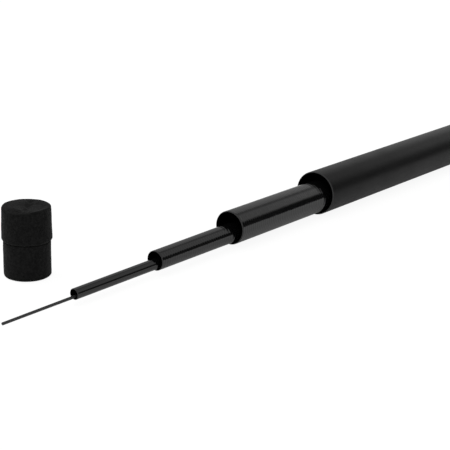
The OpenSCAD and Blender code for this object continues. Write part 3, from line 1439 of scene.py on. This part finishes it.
    def cushion(self, axis: Axis) -> bpy.types.Object:
        """Builds the foam cushion that keeps the sections from rattling.

        Args:
            axis: The line from the front of the cap's head.

        Returns:
            The piece.
        """
        start, end, edge = self.cushion_from, self.hollow_from, self.cushion_edge
        r, hole = self.cushion_r, self.cushion_hole_r
        first = (start + self.cushion_bevel[0], hole)
        outline = dense([
            first, (start, hole + self.cushion_bevel[1]), *arc(start + edge, r - edge, edge, 180, 90, 5),
            (end, r), (end, hole), first], self.cushion_run)
        shape = Turned([Stretch(CUSHION, outline)], self.cushion_steps).spin()
        shape.shift(self.pitted)
        piece = shape.finish("cap_cushion", axis.place(), axis, SOFT_CREASE)
        return settle(piece, "cap_seals", "cap_pad", Slot.PAD_FOAM)

    def pitted(self, place: Vector, normal: Vector) -> Vector:
        """Sinks a corner of the cushion's skin a little."""
        return place - normal * self.cushion_pit * abs(noise.noise(place * self.cushion_scale))


# The studio


@dataclass(frozen=True)
class Camera:
    """The photograph's camera, fitted to the outlines of the sections."""

    place: Vector = fixed(-1.02552, -0.40803, 0.21211)
    heading: float = 36.973
    pitch: float = -17.185
    roll: float = 1.88
    lens: float = 86.72
    sensor: float = 36.0
    reach: float = 50.0

    def build(self) -> None:
        """Adds the camera and makes it the scene's own."""
        data = bpy.data.cameras.new("camera")
        data.lens = self.lens
        data.sensor_width = self.sensor
        data.clip_end = self.reach
        turn = (Matrix.Rotation(math.radians(self.heading - 90), 4, "Z")
                @ Matrix.Rotation(math.radians(90 + self.pitch), 4, "X")
                @ Matrix.Rotation(math.radians(self.roll), 4, "Z"))
        made = show("camera", data)
        made.matrix_world = Matrix.Translation(self.place) @ turn
        bpy.context.scene.camera = made


@dataclass(frozen=True)
class Walls:
    """The dark wall and the pale ceiling that the gloss mirrors, by direction.

    Each Ease holds where a part starts and ends and the levels there. The zenith's value keeps the
    heading finite straight overhead.
    """

    wall_heading: Point = (0.67, -0.742)
    wall_side: Ease = (0.55, 0.85, 0.0, 1.0)
    wall_top: Ease = (0.34, 0.43, 1.0, 0.0)
    wall_foot: Ease = (-0.02, 0.0, 0.0, 1.0)
    wall_end: Ease = (0.68, 0.76, 0.9, 1.0)
    wall_dark: float = 0.985
    near: Ease = (0.4, 0.9, 0.73, 0.6)
    far: Ease = (0.0, 0.9, 0.33, 0.71)
    near_to_far: Ease = (-0.12, 0.12, 0.0, 1.0)
    seam: Ease = (0.0, 0.2, 0.54, 0.0)
    seam_lean: float = 0.07
    seam_foot: Ease = (0.2, 0.5, 0.0, 1.0)
    bright_end: Ease = (0.78, 0.86, 1.0, 1.7)
    horizon: Ease = (-0.05, 0.0, 0.0, 1.0)
    zenith: float = 0.05

    def lay(self, bench: Bench, given: bpy.types.Node) -> dict[str, Any]:
        """Builds the brightness of the walls and the ceiling.

        Args:
            bench: The group's bench.
            given: The group's input node.

        Returns:
            What the group gives, by name.
        """
        x, y, z = bench.parts(given.outputs["Vector"])
        level = bench.math("SQRT", bench.less(1.0, bench.product(z, z)))
        toward_x, toward_y = self.wall_heading
        ahead = bench.total(bench.product(x, toward_x), bench.product(y, toward_y))
        heading = bench.over(ahead, bench.math("MAXIMUM", level, self.zenith))
        wall = bench.product(
            bench.ramp(heading, *self.wall_side), bench.ramp(z, *self.wall_top),
            bench.ramp(z, *self.wall_foot), bench.ramp(x, *self.wall_end))
        near, far = bench.ramp(z, *self.near), bench.ramp(z, *self.far)
        side = bench.ramp(y, *self.near_to_far)
        ceiling = bench.total(near, bench.product(side, bench.less(far, near)))
        off = bench.math("ABSOLUTE", bench.less(y, bench.product(z, self.seam_lean)))
        seam = bench.product(bench.ramp(off, *self.seam), bench.ramp(z, *self.seam_foot))
        sky = bench.product(ceiling, bench.less(1.0, seam), bench.ramp(x, *self.bright_end))
        above = bench.ramp(z, *self.horizon)
        lit = bench.total(bench.product(sky, above), bench.less(1.0, above))
        return {"Level": bench.product(lit, bench.less(1.0, bench.product(wall, self.wall_dark)))}


STUDIO_WALLS = Effect("studio_walls", (), ("Level",), Walls().lay)


@dataclass(frozen=True)
class Lamp:
    """A soft area lamp that the gloss doesn't mirror."""

    name: str
    place: Point3
    faces: Point3
    size: Point
    watts: float

    def build(self) -> None:
        """Hangs the lamp."""
        data = bpy.data.lights.new(self.name, "AREA")
        data.shape = "RECTANGLE"
        data.size, data.size_y = self.size
        data.energy = self.watts
        made = show(self.name, data)
        made.location = self.place
        sight = Vector(self.faces) - Vector(self.place)
        made.rotation_euler = sight.to_track_quat("-Z", "Y").to_euler()
        made.visible_glossy = False
        made.visible_camera = False


@dataclass(frozen=True)
class Studio:
    """A plain pale floor, soft light and the walls that the gloss mirrors."""

    floor_half: float = 12.0
    floor_drop: float = 0.02 * MM
    floor_paint: float = 0.93
    floor_shadow: float = 0.16
    floor_white: float = 0.905
    floor_glow: float = 0.12
    ambient: float = 0.62
    lamps: tuple[Lamp, ...] = (
        Lamp("overhead", (-0.5, 0.15, 2.4), (-0.45, 0.0, 0.0), (2.6, 1.8), 11.0),
        Lamp("far_side", (-0.9, 1.5, 0.9), (-0.6, 0.0, 0.02), (1.2, 0.8), 9.0))

    def build(self) -> None:
        """Adds the floor, the world and the lamps."""
        self.floor()
        self.world()
        for lamp in self.lamps:
            lamp.build()

    def floor(self) -> None:
        """Lays the floor. To the camera it is white with a faint shadow, to all else plain paint."""
        bm = bmesh.new()
        bmesh.ops.create_grid(bm, x_segments=1, y_segments=1, size=self.floor_half)
        bm.transform(Matrix.Translation((0, 0, -self.floor_drop)))
        mesh = mesh_of(bm, "floor")
        show("floor", mesh)
        paint = bpy.data.materials.new("floor_paint")
        paint.use_nodes = True
        bench = Bench(paint.node_tree)
        plain = bench.node("BsdfDiffuse", {"Color": grey(self.floor_paint)})
        faint = bench.node("BsdfDiffuse", {"Color": grey(self.floor_shadow)})
        glow = bench.node("Emission", {"Color": grey(1.0), "Strength": self.floor_white})
        seen = bench.node("AddShader", {0: faint.outputs[0], 1: glow.outputs[0]})
        path = bench.node("LightPath").outputs
        mirrored = bench.product(path["Is Glossy Ray"], self.floor_glow)
        beyond = bench.math("MAXIMUM", mirrored, path["Is Transmission Ray"])
        shown = bench.math("MAXIMUM", path["Is Camera Ray"], beyond)
        choice = bench.node("MixShader", {0: shown, 1: plain.outputs[0], 2: seen.outputs[0]})
        bench.node("OutputMaterial", {"Surface": choice.outputs[0]})
        mesh.materials.append(paint)

    def world(self) -> None:
        """Sets what each kind of ray sees: white, the studio's walls, or plain ambient light."""
        world = bpy.data.worlds.new("studio")
        bpy.context.scene.world = world
        world.use_nodes = True
        bench = Bench(world.node_tree)
        path = bench.node("LightPath").outputs
        walls = STUDIO_WALLS.place(bench, vector=bench.node("TexCoord").outputs["Generated"])
        white, mirrored, soft = (
            bench.node("Background", {"Color": grey(1.0), "Strength": strength}).outputs[0]
            for strength in (1.0, walls.outputs["Level"], self.ambient))
        glossy = bench.node("MixShader", {0: path["Is Glossy Ray"], 1: soft, 2: mirrored}).outputs[0]
        plain = bench.math("MAXIMUM", path["Is Camera Ray"], path["Is Transmission Ray"])
        shown = bench.node("MixShader", {0: plain, 1: glossy, 2: white}).outputs[0]
        bench.node("OutputWorld", {"Surface": shown})


def clear() -> None:
    """Removes whatever the new file holds."""
    for made in list(bpy.data.objects):
        bpy.data.objects.remove(made)


def main() -> None:
    """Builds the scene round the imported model, and reports each piece."""
    logging.basicConfig(level=logging.INFO, format="%(name)s: %(message)s")
    clear()
    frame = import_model()
    Camera().build()
    pieces = [*Pole().build(frame), MouthStopper().build(frame), *ScrewCap().build(frame)]
    Studio().build()
    for piece in pieces:
        mesh = piece.data
        log.info("%s: %d corners, %d faces", piece.name, len(mesh.vertices), len(mesh.polygons))
    bpy.context.scene.view_settings.view_transform = "Standard"


if __name__ == "__main__":
    main()
